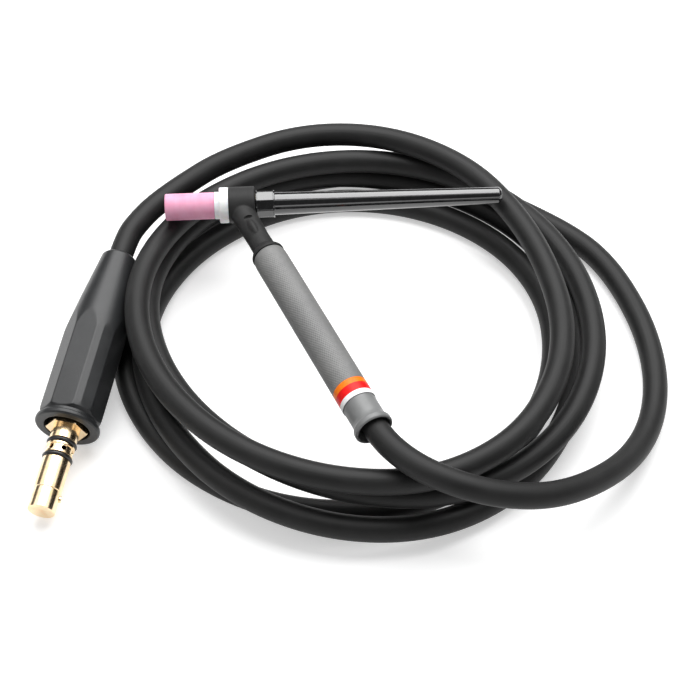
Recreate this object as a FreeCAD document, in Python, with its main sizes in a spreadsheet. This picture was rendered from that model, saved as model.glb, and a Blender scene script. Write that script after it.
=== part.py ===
"""Air-cooled TIG torch lying on its own coiled cable.

Frame: the origin is the middle of the gas nozzle's mouth, +X runs along the torch axis
towards the back cap, +Z is up, and the floor lies floor_drop below the torch axis.
Lengths are millimetres.
"""
import FreeCAD, Part
import math
import os

import Sketcher
from FreeCAD import Placement, Rotation, Vector

doc = FreeCAD.newDocument("TigTorch")
sheet = doc.addObject("Spreadsheet::Sheet", "Sizes")
parts = []
rows = iter(range(1, 1000))


class Size:
    """A length that carries its number and the sheet expression it comes from."""

    def __init__(self, value, text):
        self.value = value
        self.text = text

    def __add__(self, other):
        other = as_size(other)
        return Size(self.value + other.value, f"({self.text} + {other.text})")

    def __sub__(self, other):
        other = as_size(other)
        return Size(self.value - other.value, f"({self.text} - {other.text})")

    def __mul__(self, factor):
        return Size(self.value * factor, f"({self.text} * {factor})")


def as_size(number):
    return number if isinstance(number, Size) else Size(number, str(number))


def given(alias, value):
    """Write one driving dimension into the sheet under its alias."""
    cell = f"B{next(rows)}"
    sheet.set(cell, str(value))
    sheet.setAlias(cell, alias)
    return Size(value, "Sizes." + alias)


# Gas nozzle and gasket
nozzle_length = given("nozzle_length", 30.7)
nozzle_radius = given("nozzle_radius", 8.35)
nozzle_bore = given("nozzle_bore", 5.2)
nozzle_thread_depth = given("nozzle_thread_depth", 11.5)
nozzle_edge = given("nozzle_edge", 0.8)
spigot_length = given("spigot_length", 3.1)
spigot_radius = given("spigot_radius", 8.5)
gasket_length = given("gasket_length", 5.7)
gasket_radius = given("gasket_radius", 11.15)
gasket_edge = given("gasket_edge", 0.5)

# Head and its brass core
head_length = given("head_length", 16.7)
head_radius = given("head_radius", 11.3)
head_edge = given("head_edge", 1.2)
core_radius = given("core_radius", 7.5)
core_bore = given("core_bore", 4.65)
seal_seat_depth = given("seal_seat_depth", 2.2)
turning_gap = given("turning_gap", 0.08)
fixed_gap = given("fixed_gap", 0.05)

# Collet body, collet and electrode
collet_body_radius = given("collet_body_radius", 6.2)
diffuser_radius = given("diffuser_radius", 4.2)
diffuser_length = given("diffuser_length", 11.5)
diffuser_hole = given("diffuser_hole", 0.9)
collet_body_stub = given("collet_body_stub", 6.0)
collet_radius = given("collet_radius", 2.35)
collet_reach = given("collet_reach", 37.0)
collet_slit = given("collet_slit", 0.5)
collet_slit_length = given("collet_slit_length", 13.0)
electrode_radius = given("electrode_radius", 1.2)
electrode_length = given("electrode_length", 175.0)
electrode_setback = given("electrode_setback", 1.5)
electrode_point = given("electrode_point", 3.5)
sliding_gap = given("sliding_gap", 0.05)

# Back cap and its seal
cap_clearance = given("cap_clearance", 0.3)
cap_nose_length = given("cap_nose_length", 10.0)
cap_collar_length = given("cap_collar_length", 11.7)
cap_collar_radius = given("cap_collar_radius", 8.6)
cap_flat_radius = given("cap_flat_radius", 8.15)
cap_flat_length = given("cap_flat_length", 9.5)
cap_length = given("cap_length", 142.4)
cap_root_radius = given("cap_root_radius", 7.2)
cap_tip_radius = given("cap_tip_radius", 5.15)
cap_bore = given("cap_bore", 1.9)
cap_end_wall = given("cap_end_wall", 6.5)
seal_wire = given("seal_wire", 0.8)
seal_stand = given("seal_stand", 0.25)
seal_room = given("seal_room", 0.2)
seal_ring = core_bore + seal_wire + seal_stand
seal_seat_radius = seal_ring + seal_wire + seal_room

# Neck, seen as a station along the handle's axis
neck_setback = given("neck_setback", 5.4)
neck_angle = given("neck_angle", 67.4)
neck_root_radius = given("neck_root_radius", 7.7)
neck_radius = given("neck_radius", 7.1)
neck_straight = given("neck_straight", 40.5)
flare_length = given("flare_length", 6.5)
flare_radius = given("flare_radius", 10.0)
flare_lip = given("flare_lip", 2.0)
neck_spigot = given("neck_spigot", 14.0)
pad_station = given("pad_station", 23.0)
pad_half_length = given("pad_half_length", 8.5)
pad_half_width = given("pad_half_width", 3.4)
pad_rise = given("pad_rise", 0.5)
tube_radius = given("tube_radius", 3.2)
tube_wall = given("tube_wall", 0.8)
tube_length = given("tube_length", 74.0)

# Handle
grip_radius = given("grip_radius", 10.4)
grip_bore = given("grip_bore", 8.3)
grip_length = given("grip_length", 127.2)
shoulder_length = given("shoulder_length", 6.0)
band_length = given("band_length", 12.6)
band_depth = given("band_depth", 0.3)
tenon_length = given("tenon_length", 5.0)
tenon_wall = given("tenon_wall", 0.5)
sleeve_radius = given("sleeve_radius", 9.95)
sleeve_length = given("sleeve_length", 19.8)
lip_radius = given("lip_radius", 11.4)
lip_length = given("lip_length", 4.0)
lip_flare = given("lip_flare", 2.2)
fit_gap = given("fit_gap", 0.3)

# Union between the neck tube and the cable
union_length = given("union_length", 18.0)
union_thread = given("union_thread", 5.0)
union_thread_length = given("union_thread_length", 12.0)
union_bore = given("union_bore", 2.2)
nut_length = given("nut_length", 17.0)
nut_lip = given("nut_lip", 2.5)
barb_radius = given("barb_radius", 3.4)
barb_head_length = given("barb_head_length", 3.3)
barb_bore = given("barb_bore", 1.8)
barb_length = given("barb_length", 25.0)
ferrule_length = given("ferrule_length", 18.0)

# Cable
cable_radius = given("cable_radius", 7.5)
floor_drop = given("floor_drop", 60.0)
lead_run = given("lead_run", 16.0)
coil_middle_x = given("coil_middle_x", 123.0)
coil_middle_y = given("coil_middle_y", -66.0)

# Plug, seen as a station along its axis from the pin's tip
tip_length = given("tip_length", 13.0)
tip_radius = given("tip_radius", 8.1)
tip_edge = given("tip_edge", 0.5)
pin_radius = given("pin_radius", 8.4)
pin_length = given("pin_length", 20.0)
groove_length = given("groove_length", 3.2)
groove_radius = given("groove_radius", 6.6)
land_length = given("land_length", 6.5)
gas_groove_radius = given("gas_groove_radius", 7.6)
gas_groove_length = given("gas_groove_length", 3.4)
gas_hole = given("gas_hole", 1.15)
gas_bore = given("gas_bore", 2.4)
throat_length = given("throat_length", 7.9)
throat_radius = given("throat_radius", 8.2)
hex_length = given("hex_length", 11.0)
hex_corner = given("hex_corner", 12.7)
shank_radius = given("shank_radius", 8.6)
shank_length = given("shank_length", 20.0)
stem_length = given("stem_length", 20.0)
ring_wire = given("ring_wire", 1.25)
lug_radius = given("lug_radius", 1.9)
lug_top = given("lug_top", 8.35)
lug_root = given("lug_root", 5.0)
lug_station = given("lug_station", 10.0)

# Plug boot
boot_length = given("boot_length", 123.8)
boot_lip_radius = given("boot_lip_radius", 19.5)
boot_lip_length = given("boot_lip_length", 3.2)
boot_skirt_length = given("boot_skirt_length", 6.5)
boot_body_radius = given("boot_body_radius", 17.9)
boot_crown_radius = given("boot_crown_radius", 18.8)
boot_crown_length = given("boot_crown_length", 58.0)
boot_flat = given("boot_flat", 17.3)
boot_end_radius = given("boot_end_radius", 10.9)
boot_mouth_radius = given("boot_mouth_radius", 13.8)
boot_mouth_depth = given("boot_mouth_depth", 13.0)
boot_chamber_length = given("boot_chamber_length", 45.0)
hex_stand = given("hex_stand", 1.3)

# Corners of the coil, clockwise from the rear left: reach from the coil's middle,
# slant outwards in degrees, and height of the cable's middle above the floor.
COIL_CORNERS = (
    (155.5, 0, 40.2), (118.5, -14, 47.4), (131, 10, 41), (139.5, 0, 49),
    (132, -9, 41), (132, 0, 28), (143, 1, 24), (130, -1, 34.2),
    (136, -6, 25), (131, 1, 12.2), (140, 9, 7.5), (146.5, -6, 22.5),
    (129, -7, 7), (115.5, 1, 7), (121, 6, 7), (145, 6, 7),
    (147.5, -4.5, 7), (149.5, 5, 7),
)
COIL_START_ANGLE = 135.0

# Free stretch from the coil round the right and over the front turns into the handle
HANDLE_LEAD = (
    (277.5, -8.5, -53), (289.5, -38.5, -53), (297.2, -74, -53), (297.5, -111, -53), (288.7, -145.5, -51),
    (271.5, -175, -43.5), (247.5, -199, -32), (218.5, -217.5, -19), (188, -223.5, -8), (160.5, -218.5, -1),
    (137.5, -205, 1),
)

# Middle of the free stretch from the plug's boot up to the coil
PLUG_LEAD = ((-18.4, 9.3, -20.2),)

PLUG_FLANGE = Vector(-58.6, -139.8, -40.55)
PLUG_AXIS = Vector(0.2287, 0.9634, 0.1394)
PLUG_AXIS.normalize()
PLUG_CABLE_END = PLUG_FLANGE + PLUG_AXIS * boot_length.value


def along_handle(station):
    """A point on the handle's axis at a station measured from the torch axis."""
    return NECK_FOOT + HANDLE_AXIS * station.value


def lathe(label, outline, place=None):
    """A body turned about its own X axis from an outline of (station, radius) corners."""
    body = doc.addObject("PartDesign::Body", label)
    plane = next(f for f in body.Origin.OriginFeatures if f.Role == "XY_Plane")
    sketch = body.newObject("Sketcher::SketchObject", label + "_outline")
    sketch.AttachmentSupport = (plane, [""])
    sketch.MapMode = "FlatFace"
    outline = [(as_size(station), as_size(radius)) for station, radius in outline]
    corners = [Vector(station.value, radius.value, 0) for station, radius in outline]
    count = len(corners)
    for i in range(count):
        sketch.addGeometry(Part.LineSegment(corners[i], corners[(i + 1) % count]), False)
    for i in range(count):
        sketch.addConstraint(Sketcher.Constraint("Coincident", i, 2, (i + 1) % count, 1))
    for i, (station, radius) in enumerate(outline):
        hold(sketch, i, "DistanceX", -2, station)
        hold(sketch, i, "DistanceY", -1, radius)
    turn = body.newObject("PartDesign::Revolution", label + "_turn")
    turn.Profile = sketch
    turn.ReferenceAxis = (sketch, ["H_Axis"])
    turn.Angle = 360
    body.Tip = turn
    if place is not None:
        body.Placement = place
    return body


def hold(sketch, corner, kind, axis, size):
    """Tie one corner of an outline to the sheet, or to the axis where its size is zero."""
    if size.value == 0:
        sketch.addConstraint(Sketcher.Constraint("PointOnObject", corner, 1, axis))
        return
    index = sketch.addConstraint(Sketcher.Constraint(kind, -1, 1, corner, 1, size.value))
    sketch.setExpression(f"Constraints[{index}]", size.text)


def bound(kind, label, **sizes):
    """A primitive whose properties are bound to the sheet."""
    thing = doc.addObject(kind, label)
    for name, size in sizes.items():
        thing.setExpression(name, as_size(size).text)
    return thing


def rod(label, start, direction, radius, length):
    """A cylinder from a point along a direction."""
    thing = bound("Part::Cylinder", label, Radius=radius, Height=length)
    thing.Placement = Placement(start, Rotation(Vector(0, 0, 1), direction))
    return thing


def prism(label, start, direction, corner, length, sides, roll=0.0):
    """A regular prism from a point along a direction."""
    thing = bound("Part::Prism", label, Circumradius=corner, Height=length)
    thing.Polygon = sides
    turn = Rotation(Vector(0, 0, 1), direction)
    thing.Placement = Placement(start, turn * Rotation(Vector(0, 0, 1), roll))
    return thing


def ring(label, middle, direction, radius, wire):
    """A round seal about an axis."""
    thing = bound("Part::Torus", label, Radius1=radius, Radius2=wire)
    thing.Placement = Placement(middle, Rotation(Vector(0, 0, 1), direction))
    return thing


def cut(label, base, tools):
    """Take tools out of a base."""
    for i, tool in enumerate(tools):
        last = i == len(tools) - 1
        step = doc.addObject("Part::Cut", label if last else f"{label}_step_{i}")
        step.Base = base
        step.Tool = tool
        base = step
    return base


def fuse(label, pieces):
    joined = doc.addObject("Part::MultiFuse", label)
    joined.Shapes = pieces
    joined.Refine = True
    return joined


def solid(label, shape):
    piece = doc.addObject("Part::Feature", label)
    piece.Shape = shape
    return piece


def keep(thing, node):
    """Name a finished piece as one of the torch's nodes."""
    thing.Label = node
    parts.append((thing, node))


X_AXIS = Vector(1, 0, 0)
HEAD_FRONT = nozzle_length + spigot_length + gasket_length
HEAD_BACK = HEAD_FRONT + head_length
NECK_FOOT = Vector((HEAD_FRONT + neck_setback).value, 0, 0)
_turn = math.radians(neck_angle.value)
HANDLE_AXIS = Vector(math.cos(_turn), -math.sin(_turn), 0)
HANDLE_PLACE = Placement(NECK_FOOT, Rotation(X_AXIS, HANDLE_AXIS))
GRIP_FRONT = neck_straight + flare_length + flare_lip
GRIP_END = GRIP_FRONT + grip_length
BAND_START = GRIP_END - band_length
HANDLE_END = GRIP_END + sleeve_length
NOZZLE_THREAD = collet_body_radius + turning_gap


def front_end():
    """Ceramic nozzle, gasket, collet body, collet and electrode."""
    shoulder = nozzle_length - nozzle_thread_depth
    nozzle = lathe("gas_nozzle", [
        (0, nozzle_bore + nozzle_edge * 0.5), (0, nozzle_radius - nozzle_edge),
        (nozzle_edge, nozzle_radius), (nozzle_length - nozzle_edge, nozzle_radius),
        (nozzle_length, nozzle_radius - nozzle_edge), (nozzle_length, NOZZLE_THREAD),
        (shoulder, NOZZLE_THREAD), (shoulder - 1.0, nozzle_bore), (nozzle_edge * 0.5, nozzle_bore)])
    keep(nozzle, "gas_nozzle")

    ring_start = nozzle_length + spigot_length
    gasket = lathe("nozzle_gasket", [
        (nozzle_length, NOZZLE_THREAD), (nozzle_length, spigot_radius), (ring_start, spigot_radius),
        (ring_start, gasket_radius - gasket_edge), (ring_start + gasket_edge, gasket_radius),
        (HEAD_FRONT - gasket_edge, gasket_radius), (HEAD_FRONT, gasket_radius - gasket_edge),
        (HEAD_FRONT, NOZZLE_THREAD)])
    keep(gasket, "nozzle_gasket")

    body_start = shoulder + 0.5
    diffuser_front = body_start - diffuser_length
    stub = core_bore - fixed_gap
    bore = collet_radius + sliding_gap
    blank = lathe("collet_body_blank", [
        (diffuser_front, bore), (diffuser_front, diffuser_radius - 0.6),
        (diffuser_front + 0.8, diffuser_radius), (body_start, diffuser_radius),
        (body_start, collet_body_radius), (HEAD_FRONT, collet_body_radius),
        (HEAD_FRONT, stub), (HEAD_FRONT + collet_body_stub, stub),
        (HEAD_FRONT + collet_body_stub, bore)])
    hole_station = (body_start - 4.0).value
    holes = []
    for i in range(2):
        across = Rotation(X_AXIS, 90.0 * i).multVec(Vector(0, 1, 0))
        start = Vector(hole_station, 0, 0) - across * (diffuser_radius.value + 1)
        holes.append(rod(f"diffuser_hole_{i}", start, across, diffuser_hole, diffuser_radius * 2 + 2))
    keep(cut("collet_body", blank, holes), "collet_body")

    collet_front = diffuser_front + 0.6
    collet_bore = electrode_radius + sliding_gap
    collet_blank = lathe("collet_blank", [
        (collet_front, collet_bore), (collet_front, collet_radius - 0.5),
        (collet_front + 1.2, collet_radius), (collet_front + collet_reach, collet_radius),
        (collet_front + collet_reach, collet_bore)])
    slits = []
    for i in range(2):
        slit = bound("Part::Box", f"collet_slit_{i}", Length=collet_slit_length + 1, Width=collet_slit,
                     Height=collet_radius * 2 + 1)
        corner = Vector(collet_front.value - 1, -collet_slit.value / 2, -collet_radius.value - 0.5)
        slit.Placement = Placement(Vector(), Rotation(X_AXIS, 45 + 90.0 * i)).multiply(
            Placement(corner, Rotation()))
        slits.append(slit)
    keep(cut("collet", collet_blank, slits), "collet")

    tip = electrode_setback
    electrode = lathe("tungsten_electrode", [
        (tip, 0), (tip, electrode_radius * 0.15), (tip + electrode_point, electrode_radius),
        (tip + electrode_length, electrode_radius), (tip + electrode_length, 0)])
    keep(electrode, "tungsten_electrode")


def head():
    """Brass core, moulded head with its neck, and the copper tube inside the neck."""
    seat = HEAD_BACK - seal_seat_depth
    core = lathe("head_core", [
        (HEAD_FRONT, core_bore), (HEAD_FRONT, core_radius), (HEAD_BACK, core_radius),
        (HEAD_BACK, seal_seat_radius), (seat, seal_seat_radius), (seat, core_bore)])
    keep(core, "head_core")

    barrel = lathe("head_barrel", [
        (HEAD_FRONT, 0), (HEAD_FRONT, head_radius - head_edge * 0.4), (HEAD_FRONT + head_edge * 0.4, head_radius),
        (HEAD_BACK - head_edge, head_radius), (HEAD_BACK - head_edge * 0.3, head_radius - head_edge * 0.3),
        (HEAD_BACK, head_radius - head_edge), (HEAD_BACK, 0)])
    flare_start = neck_straight
    flare_end = neck_straight + flare_length
    spigot = grip_bore - fit_gap
    neck = lathe("neck_blank", [
        (0, 0), (0, neck_root_radius), (head_radius + 2.0, neck_root_radius - 0.4),
        (flare_start, neck_radius), (flare_start + flare_length * 0.55, neck_radius + 1.0),
        (flare_end, flare_radius), (GRIP_FRONT, flare_radius), (GRIP_FRONT, spigot),
        (GRIP_FRONT + neck_spigot, spigot), (GRIP_FRONT + neck_spigot, 0)], HANDLE_PLACE)
    pad = bound("Part::Ellipsoid", "neck_pad", Radius1=neck_radius + pad_rise + 0.2, Radius2=pad_half_length,
                Radius3=pad_half_width)
    pad.Placement = Placement(along_handle(pad_station), HANDLE_PLACE.Rotation)
    moulding = fuse("head_moulding", [barrel, neck, pad])
    front_space = rod("front_space", Vector(HEAD_FRONT.value - 20, 0, 0), X_AXIS, head_radius * 2, 20)
    core_space = rod("core_space", Vector(HEAD_FRONT.value - 1, 0, 0), X_AXIS, core_radius + fixed_gap,
                     head_length + 2)
    tube_space = rod("tube_space", NECK_FOOT, HANDLE_AXIS, tube_radius + fixed_gap, tube_length)
    keep(cut("head_insulator", moulding, [front_space, core_space, tube_space]), "head_insulator")

    pipe = lathe("neck_tube_blank", [
        (2.0, tube_radius - tube_wall), (2.0, tube_radius), (tube_length, tube_radius),
        (tube_length, tube_radius - tube_wall)], HANDLE_PLACE)
    core_saddle = rod("core_saddle", Vector(HEAD_FRONT.value - 1, 0, 0), X_AXIS, core_radius, head_length + 2)
    keep(cut("neck_tube", pipe, [core_saddle]), "neck_tube")


def back_cap():
    """Long cap with its threaded nose and flatted collar, and the seal on the nose."""
    collar = HEAD_BACK + cap_clearance
    nose = collar - cap_nose_length
    body = collar + cap_collar_length
    end = body + cap_length
    nose_radius = core_bore - turning_gap
    blank = lathe("back_cap_blank", [
        (nose, cap_bore), (nose, nose_radius), (collar, nose_radius), (collar, cap_collar_radius - 0.6),
        (collar + 0.6, cap_collar_radius), (body - 0.4, cap_collar_radius), (body, cap_collar_radius - 0.4),
        (body, cap_root_radius), (end - 2.0, cap_tip_radius), (end - 0.6, cap_tip_radius - 0.6),
        (end, cap_tip_radius - 2.0), (end, 0), (end - cap_end_wall, 0), (end - cap_end_wall, cap_bore)])
    flat_start = Vector((collar + 1.1).value, 0, 0)
    outer = rod("cap_flat_outer", flat_start, X_AXIS, cap_collar_radius + 2.0, cap_flat_length)
    corner = cap_flat_radius * (1 / math.cos(math.radians(22.5)))
    inner = prism("cap_flat_inner", flat_start, X_AXIS, corner, cap_flat_length, 8)
    shaver = cut("cap_flat_shaver", outer, [inner])
    keep(cut("back_cap", blank, [shaver]), "back_cap")

    seal_middle = Vector((HEAD_BACK - seal_seat_depth * 0.5).value, 0, 0)
    keep(ring("back_cap_seal", seal_middle, X_AXIS, seal_ring, seal_wire), "back_cap_seal")


def handle():
    """Grip, its printed band, and the rear sleeve with its flared mouth."""
    tenon_bore = sleeve_radius - tenon_wall
    grip = lathe("handle_grip", [
        (GRIP_FRONT, grip_bore), (GRIP_FRONT, grip_bore + 0.3),
        (GRIP_FRONT + shoulder_length * 0.25, grip_radius - 0.55),
        (GRIP_FRONT + shoulder_length * 0.6, grip_radius - 0.12), (GRIP_FRONT + shoulder_length, grip_radius),
        (BAND_START, grip_radius), (BAND_START, grip_radius - band_depth), (GRIP_END, grip_radius - band_depth),
        (GRIP_END, tenon_bore), (GRIP_END - tenon_length, tenon_bore), (GRIP_END - tenon_length, grip_bore)],
        HANDLE_PLACE)
    keep(grip, "handle_grip")

    band = lathe("handle_band", [
        (BAND_START, grip_radius - band_depth), (BAND_START, grip_radius), (GRIP_END, grip_radius),
        (GRIP_END, grip_radius - band_depth)], HANDLE_PLACE)
    keep(band, "handle_band")

    tenon = tenon_bore - fixed_gap
    lip_start = HANDLE_END - lip_length - lip_flare
    sleeve = lathe("handle_rear_sleeve", [
        (GRIP_END - tenon_length, grip_bore), (GRIP_END - tenon_length, tenon), (GRIP_END, tenon),
        (GRIP_END, sleeve_radius), (lip_start, sleeve_radius), (HANDLE_END - lip_length, lip_radius - 0.3),
        (HANDLE_END - lip_length * 0.6, lip_radius), (HANDLE_END - 1.0, lip_radius - 0.2),
        (HANDLE_END, lip_radius - 1.2), (HANDLE_END, lip_radius - 1.6), (lip_start, grip_bore)], HANDLE_PLACE)
    keep(sleeve, "handle_rear_sleeve")


def cable_union():
    """Brass union, nut, hose barb and crimp ferrule inside the handle."""
    start = tube_length - 8.0
    shoulder = start + union_length
    end = shoulder + union_thread_length
    outer = grip_bore - fit_gap
    union = lathe("neck_union", [
        (start, tube_radius + fixed_gap), (start, outer), (shoulder, outer), (shoulder, union_thread),
        (end, union_thread), (end, union_bore), (tube_length + 0.3, union_bore),
        (tube_length + 0.3, tube_radius + fixed_gap)], HANDLE_PLACE)
    keep(union, "neck_union")

    nut_start = shoulder + 1.0
    nut_end = nut_start + nut_length
    nut_blank = prism("union_nut_blank", along_handle(nut_start), HANDLE_AXIS, outer, nut_length, 6)
    nut_bore = rod("union_nut_bore", along_handle(nut_start - 1.0), HANDLE_AXIS, union_thread + fixed_gap,
                   nut_length - nut_lip + 1)
    nut_mouth = rod("union_nut_mouth", along_handle(nut_start), HANDLE_AXIS, barb_radius + fixed_gap, nut_length + 2)
    keep(cut("union_nut", nut_blank, [nut_bore, nut_mouth]), "union_nut")

    head_start = end + 0.2
    head_end = nut_end - nut_lip
    barb_end = head_end + barb_length
    barb = lathe("cable_barb", [
        (head_start, barb_bore), (head_start, union_thread), (head_end, union_thread), (head_end, barb_radius),
        (barb_end - 1.5, barb_radius), (barb_end, barb_radius - 0.8), (barb_end, barb_bore)], HANDLE_PLACE)
    keep(barb, "cable_barb")

    cable_start = nut_end + 1.0
    cable_end = GRIP_END + 1.3
    held = lathe("cable_in_handle", [
        (cable_start, barb_radius + fixed_gap), (cable_start, cable_radius), (cable_end, cable_radius),
        (cable_end, 0), (barb_end + 1.0, 0), (barb_end + 1.0, barb_radius + fixed_gap)], HANDLE_PLACE)
    keep(held, "cable_in_handle")

    ferrule = lathe("cable_ferrule", [
        (cable_start + 2.0, cable_radius + fixed_gap), (cable_start + 2.0, outer),
        (cable_start + 2.0 + ferrule_length, outer), (cable_start + 2.0 + ferrule_length, cable_radius + fixed_gap)],
        HANDLE_PLACE)
    keep(ferrule, "cable_ferrule")
    return along_handle(cable_end)


def plug():
    """Brass plug with seals and bayonet lug, its faceted boot, and the cable's end inside."""
    axis = PLUG_AXIS
    seals = tip_length + pin_length
    land = seals + groove_length
    second = land + land_length
    throat = second + groove_length
    hex_start = throat + throat_length
    shank = hex_start + hex_length
    stem = shank + shank_length
    stem_end = stem + stem_length
    flange = hex_start + hex_stand
    base = PLUG_FLANGE - axis * flange.value
    turn = Rotation(X_AXIS, axis)
    place = Placement(base, turn)

    def at(station):
        return base + axis * station.value

    groove_start = land + (land_length - gas_groove_length) * 0.5
    groove_end = groove_start + gas_groove_length
    blank = lathe("plug_body_blank", [
        (0, 0), (0, tip_radius - tip_edge), (tip_edge, tip_radius), (tip_length, tip_radius),
        (tip_length + 0.3, pin_radius), (seals, pin_radius), (seals, groove_radius), (land, groove_radius),
        (land, pin_radius), (groove_start, pin_radius), (groove_start, gas_groove_radius),
        (groove_end, gas_groove_radius), (groove_end, pin_radius), (second, pin_radius), (second, groove_radius),
        (throat, groove_radius), (throat, throat_radius), (shank, throat_radius), (shank, shank_radius),
        (stem, shank_radius), (stem, barb_radius), (stem_end, barb_radius), (stem_end, gas_bore - 0.4),
        (land - 1.0, gas_bore - 0.4), (land - 1.0, 0)], place)
    nut = prism("plug_hex", at(hex_start), axis, hex_corner, hex_length, 6, 12.0)
    nut_hole = rod("plug_hex_hole", at(hex_start - 1.0), axis, throat_radius - 0.5, hex_length + 2)
    collar = cut("plug_hex_collar", nut, [nut_hole])
    body = fuse("plug_body_joined", [blank, collar])
    tools = []
    for i in range(6):
        out = turn.multVec(Rotation(X_AXIS, 60.0 * i + 20).multVec(Vector(0, 1, 0)))
        tools.append(rod(f"gas_hole_{i}", at(land + land_length * 0.5), out, gas_hole, pin_radius + 1))
    lug_way = turn.multVec(Rotation(X_AXIS, LUG_ROLL).multVec(Vector(0, 1, 0)))
    lug_start = at(lug_station) + lug_way * lug_root.value
    tools.append(rod("lug_hole", lug_start, lug_way, lug_radius, lug_top + 2))
    keep(cut("plug_body", body, tools), "plug_body")
    lug_blank = rod("lug_blank", lug_start, lug_way, lug_radius, lug_top - lug_root)
    trim_start = at(lug_station - lug_radius - 1.0)
    trim_length = lug_radius * 2 + 2.0
    trim_outer = rod("lug_trim_outer", trim_start, axis, lug_top + 2, trim_length)
    trim_inner = rod("lug_trim_inner", trim_start, axis, lug_top, trim_length)
    trim = cut("lug_trim", trim_outer, [trim_inner])
    keep(cut("bayonet_lug", lug_blank, [trim]), "bayonet_lug")

    ring_radius = groove_radius + ring_wire + 0.05
    for node, station in (("plug_seal_tip", seals), ("plug_seal_hex", second)):
        middle = at(station + groove_length * 0.5)
        keep(ring(node, middle, axis, ring_radius, ring_wire), node)

    boot_end = flange + boot_length
    skirt = flange + boot_lip_length + boot_skirt_length
    crown = skirt + boot_crown_length
    cable_bore = cable_radius + fit_gap
    chamber = shank_radius + fit_gap
    mouth_end = flange + boot_mouth_depth
    chamber_end = mouth_end + boot_chamber_length
    shell = lathe("plug_boot_blank", [
        (flange, boot_mouth_radius), (flange, boot_lip_radius - 0.8), (flange + 0.8, boot_lip_radius),
        (flange + boot_lip_length, boot_lip_radius), (flange + boot_lip_length + 2.2, boot_lip_radius - 0.9),
        (skirt, boot_body_radius), (crown, boot_crown_radius), (crown + 4.0, boot_crown_radius - 0.25),
        (boot_end - 1.2, boot_end_radius), (boot_end - 0.3, boot_end_radius - 0.5),
        (boot_end, boot_end_radius - 1.2), (boot_end, cable_bore), (chamber_end, cable_bore),
        (chamber_end, chamber), (mouth_end, chamber), (mouth_end, boot_mouth_radius)], place)
    facet_length = boot_length - boot_lip_length - boot_skirt_length + 2.0
    outer = rod("boot_facet_outer", at(skirt), axis, boot_crown_radius + 4, facet_length)
    corner = boot_flat * (1 / math.cos(math.radians(22.5)))
    inner = prism("boot_facet_inner", at(skirt), axis, corner, facet_length, 8, BOOT_ROLL)
    shaver = cut("boot_facet_shaver", outer, [inner])
    keep(cut("plug_boot", shell, [shaver]), "plug_boot")

    cable_start = stem + 3.0
    held = lathe("cable_in_boot", [
        (cable_start, barb_radius + fixed_gap), (cable_start, cable_radius), (boot_end, cable_radius),
        (boot_end, 0), (stem_end + 1.0, 0), (stem_end + 1.0, barb_radius + fixed_gap)], place)
    keep(held, "cable_in_boot")
    ferrule = lathe("plug_ferrule", [
        (cable_start + 2.0, cable_radius + fixed_gap), (cable_start + 2.0, shank_radius),
        (cable_start + 2.0 + ferrule_length, shank_radius),
        (cable_start + 2.0 + ferrule_length, cable_radius + fixed_gap)], place)
    keep(ferrule, "plug_ferrule")


LUG_ROLL = 15.0
BOOT_ROLL = 11.0


def coil_corner(index):
    """Place and heading of one corner of the coil, a quarter turn after the one before it."""
    reach, slant, height = COIL_CORNERS[index]
    angle = math.radians(COIL_START_ANGLE - 90.0 * index)
    out = Vector(math.cos(angle), math.sin(angle), 0)
    forward = Vector(math.sin(angle), -math.cos(angle), 0)
    place = Vector(coil_middle_x.value, coil_middle_y.value, height - floor_drop.value) + out * reach
    lean = math.radians(slant)
    return place, forward * math.cos(lean) + out * math.sin(lean)


def arc_points(start, heading, end, steps):
    """Points of the arc that leaves start along heading and reaches end."""
    chord = end - start
    length = chord.Length
    along = chord * (1 / length)
    side = heading - along * heading.dot(along)
    half = math.atan2(side.Length, heading.dot(along))
    side.normalize()
    radius = length / (2 * math.sin(half))
    middle = start + chord * 0.5 - side * (radius * math.cos(half))
    sweep = [half * (2.0 * k / steps - 1) for k in range(steps + 1)]
    points = [middle + along * (radius * math.sin(a)) + side * (radius * math.cos(a)) for a in sweep]
    return points, radius


def biarc(start, start_heading, end, end_heading, steps):
    """Two tangent arcs from one corner of the coil to the next."""
    chord = end - start
    total = start_heading + end_heading
    bend = 2 * (1 - start_heading.dot(end_heading))
    reach = chord.dot(total)
    leg = (math.sqrt(reach * reach + bend * chord.dot(chord)) - reach) / bend
    joint = (start + end) * 0.5 + (start_heading - end_heading) * (leg * 0.5)
    first, first_radius = arc_points(start, start_heading, joint, steps)
    way = (joint - start).normalize()
    heading = way * (2 * start_heading.dot(way)) - start_heading
    second, second_radius = arc_points(joint, heading, end, steps)
    return first, second, min(first_radius, second_radius)


def pipe(edges, start, heading):
    """A round tube of the cable's radius swept along tangent edges."""
    spine = Part.Wire(edges)
    section = Part.Wire([Part.Circle(start, heading, cable_radius.value).toShape()])
    sweep = Part.BRepOffsetAPI.MakePipeShell(spine)
    sweep.add(section)
    sweep.build()
    sweep.makeSolid()
    shape = sweep.shape()
    if shape.Volume < 0:
        shape.reverse()
    expected = math.pi * cable_radius.value ** 2 * spine.Length
    print(f"tube {spine.Length:.0f} mm long, volume ratio {shape.Volume / expected:.4f}")
    return shape


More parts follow.
